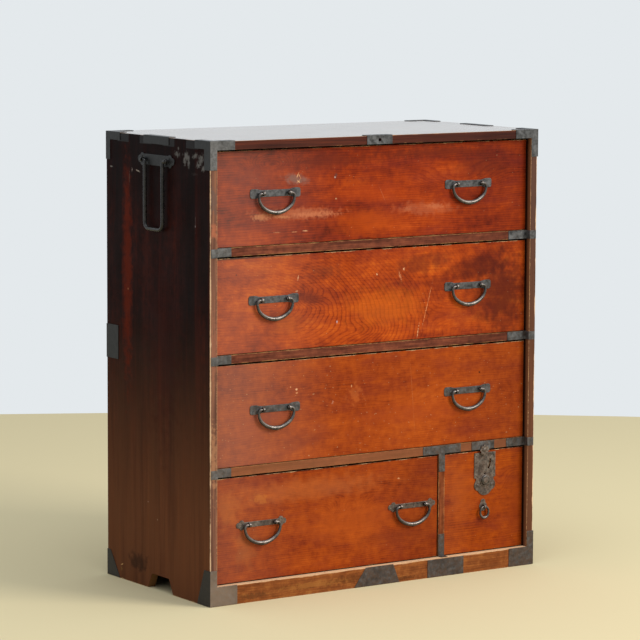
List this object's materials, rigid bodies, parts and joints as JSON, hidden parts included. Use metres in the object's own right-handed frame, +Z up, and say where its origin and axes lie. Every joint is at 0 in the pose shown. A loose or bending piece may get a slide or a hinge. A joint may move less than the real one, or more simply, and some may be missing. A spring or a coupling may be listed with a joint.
{
  "type": "isho clothing chest",
  "caption": "Japanese clothing chest of drawers in lacquered softwood with iron corner mounts, drop handles, a small locking safe drawer and side carrying handles.",
  "frame": {"origin": "on the floor under the centre of the whole chest", "axes": "+X to the right of someone facing the drawers, +Y from the drawer fronts towards the back, +Z up"},
  "size_m": [0.9076, 0.4374, 1.0072],
  "materials": {
    "lacquered_front": "transparent red-brown lacquer over softwood, satin gloss, worn",
    "lacquered_case": "dark brown lacquer, nearly black, satin",
    "lacquered_rail": "dark red-brown lacquer worn to pale wood on the edges",
    "plain_wood": "unfinished paulownia and cedar, planed",
    "sheet_iron": "blackened sheet iron with a dull grey patina",
    "forged_iron": "forged iron, blackened and rubbed bright by hand"
  },
  "bodies": {
    "case": {"left_side_panel": "lacquered_case", "right_side_panel": "lacquered_case", "top_board": "lacquered_case", "bottom_board": "plain_wood", "back_boards": "plain_wood", "front_plinth_rail": "lacquered_rail", "back_plinth_rail": "plain_wood", "drawer_rails": "lacquered_rail", "dust_boards": "plain_wood", "divider_panel": "lacquered_rail", "top_corner_irons": "sheet_iron", "foot_irons": "sheet_iron", "edge_irons": "sheet_iron", "rail_straps": "sheet_iron", "side_handle_plates": "sheet_iron", "side_handle_pins": "forged_iron"},
    "left_carrying_handle": {"left_carrying_handle": "forged_iron"},
    "right_carrying_handle": {"right_carrying_handle": "forged_iron"},
    "drawer_1": {"drawer_1_front": "lacquered_front", "drawer_1_sides": "plain_wood", "drawer_1_back": "plain_wood", "drawer_1_bottom": "plain_wood", "drawer_1_handle_plates": "sheet_iron", "drawer_1_handle_pins": "forged_iron"},
    "drawer_1_left_handle": {"drawer_1_left_handle": "forged_iron"},
    "drawer_1_right_handle": {"drawer_1_right_handle": "forged_iron"},
    "drawer_2": {"drawer_2_front": "lacquered_front", "drawer_2_sides": "plain_wood", "drawer_2_back": "plain_wood", "drawer_2_bottom": "plain_wood", "drawer_2_handle_plates": "sheet_iron", "drawer_2_handle_pins": "forged_iron"},
    "drawer_2_left_handle": {"drawer_2_left_handle": "forged_iron"},
    "drawer_2_right_handle": {"drawer_2_right_handle": "forged_iron"},
    "drawer_3": {"drawer_3_front": "lacquered_front", "drawer_3_sides": "plain_wood", "drawer_3_back": "plain_wood", "drawer_3_bottom": "plain_wood", "drawer_3_handle_plates": "sheet_iron", "drawer_3_handle_pins": "forged_iron"},
    "drawer_3_left_handle": {"drawer_3_left_handle": "forged_iron"},
    "drawer_3_right_handle": {"drawer_3_right_handle": "forged_iron"},
    "drawer_4": {"drawer_4_front": "lacquered_front", "drawer_4_sides": "plain_wood", "drawer_4_back": "plain_wood", "drawer_4_bottom": "plain_wood", "drawer_4_handle_plates": "sheet_iron", "drawer_4_handle_pins": "forged_iron"},
    "drawer_4_left_handle": {"drawer_4_left_handle": "forged_iron"},
    "drawer_4_right_handle": {"drawer_4_right_handle": "forged_iron"},
    "safe_drawer": {"safe_drawer_front": "lacquered_front", "safe_drawer_sides": "plain_wood", "safe_drawer_back": "plain_wood", "safe_drawer_bottom": "plain_wood", "lock_plate": "sheet_iron", "lock_case": "sheet_iron", "ring_mount": "sheet_iron"},
    "lock_bolt": {"lock_bolt": "forged_iron"},
    "pull_ring": {"pull_ring": "forged_iron"}
  },
  "joints": [
    {"name": "left_carrying_handle_swing", "type": "hinge", "parent": "case", "child": "left_carrying_handle", "pos_m": [-0.448, 0.0015, 0.954], "axis": [0, 1, 0], "range_deg": [-0.8, 178]},
    {"name": "right_carrying_handle_swing", "type": "hinge", "parent": "case", "child": "right_carrying_handle", "pos_m": [0.448, 0.0015, 0.954], "axis": [0, -1, 0], "range_deg": [-0.8, 178]},
    {"name": "drawer_1_slide", "type": "slide", "parent": "case", "child": "drawer_1", "axis": [0, -1, 0], "range_m": [0, 0.34]},
    {"name": "drawer_1_left_handle_swing", "type": "hinge", "parent": "drawer_1", "child": "drawer_1_left_handle", "pos_m": [-0.2635, -0.2075, 0.889], "axis": [-1, 0, 0], "range_deg": [-1.5, 176]},
    {"name": "drawer_1_right_handle_swing", "type": "hinge", "parent": "drawer_1", "child": "drawer_1_right_handle", "pos_m": [0.2565, -0.2075, 0.889], "axis": [-1, 0, 0], "range_deg": [-1.5, 176]},
    {"name": "drawer_2_slide", "type": "slide", "parent": "case", "child": "drawer_2", "axis": [0, -1, 0], "range_m": [0, 0.34]},
    {"name": "drawer_2_left_handle_swing", "type": "hinge", "parent": "drawer_2", "child": "drawer_2_left_handle", "pos_m": [-0.267, -0.2075, 0.658], "axis": [-1, 0, 0], "range_deg": [-1.5, 176]},
    {"name": "drawer_2_right_handle_swing", "type": "hinge", "parent": "drawer_2", "child": "drawer_2_right_handle", "pos_m": [0.2575, -0.2075, 0.658], "axis": [-1, 0, 0], "range_deg": [-1.5, 176]},
    {"name": "drawer_3_slide", "type": "slide", "parent": "case", "child": "drawer_3", "axis": [0, -1, 0], "range_m": [0, 0.34]},
    {"name": "drawer_3_left_handle_swing", "type": "hinge", "parent": "drawer_3", "child": "drawer_3_left_handle", "pos_m": [-0.263, -0.2075, 0.419], "axis": [-1, 0, 0], "range_deg": [-1.5, 176]},
    {"name": "drawer_3_right_handle_swing", "type": "hinge", "parent": "drawer_3", "child": "drawer_3_right_handle", "pos_m": [0.2595, -0.2075, 0.419], "axis": [-1, 0, 0], "range_deg": [-1.5, 176]},
    {"name": "drawer_4_slide", "type": "slide", "parent": "case", "child": "drawer_4", "axis": [0, -1, 0], "range_m": [0, 0.34]},
    {"name": "drawer_4_left_handle_swing", "type": "hinge", "parent": "drawer_4", "child": "drawer_4_left_handle", "pos_m": [-0.298, -0.2075, 0.1685], "axis": [-1, 0, 0], "range_deg": [-1.5, 176]},
    {"name": "drawer_4_right_handle_swing", "type": "hinge", "parent": "drawer_4", "child": "drawer_4_right_handle", "pos_m": [0.1065, -0.2075, 0.1685], "axis": [-1, 0, 0], "range_deg": [-1.5, 176]},
    {"name": "safe_drawer_slide", "type": "slide", "parent": "case", "child": "safe_drawer", "axis": [0, -1, 0], "range_m": [0, 0.34]},
    {"name": "lock_bolt_slide", "type": "slide", "parent": "safe_drawer", "child": "lock_bolt", "axis": [0, 0, 1], "range_m": [0, 0.012]},
    {"name": "pull_ring_swing", "type": "hinge", "parent": "safe_drawer", "child": "pull_ring", "pos_m": [0.3075, -0.2073, 0.1465], "axis": [-1, 0, 0], "range_deg": [-6, 165]}
  ]
}
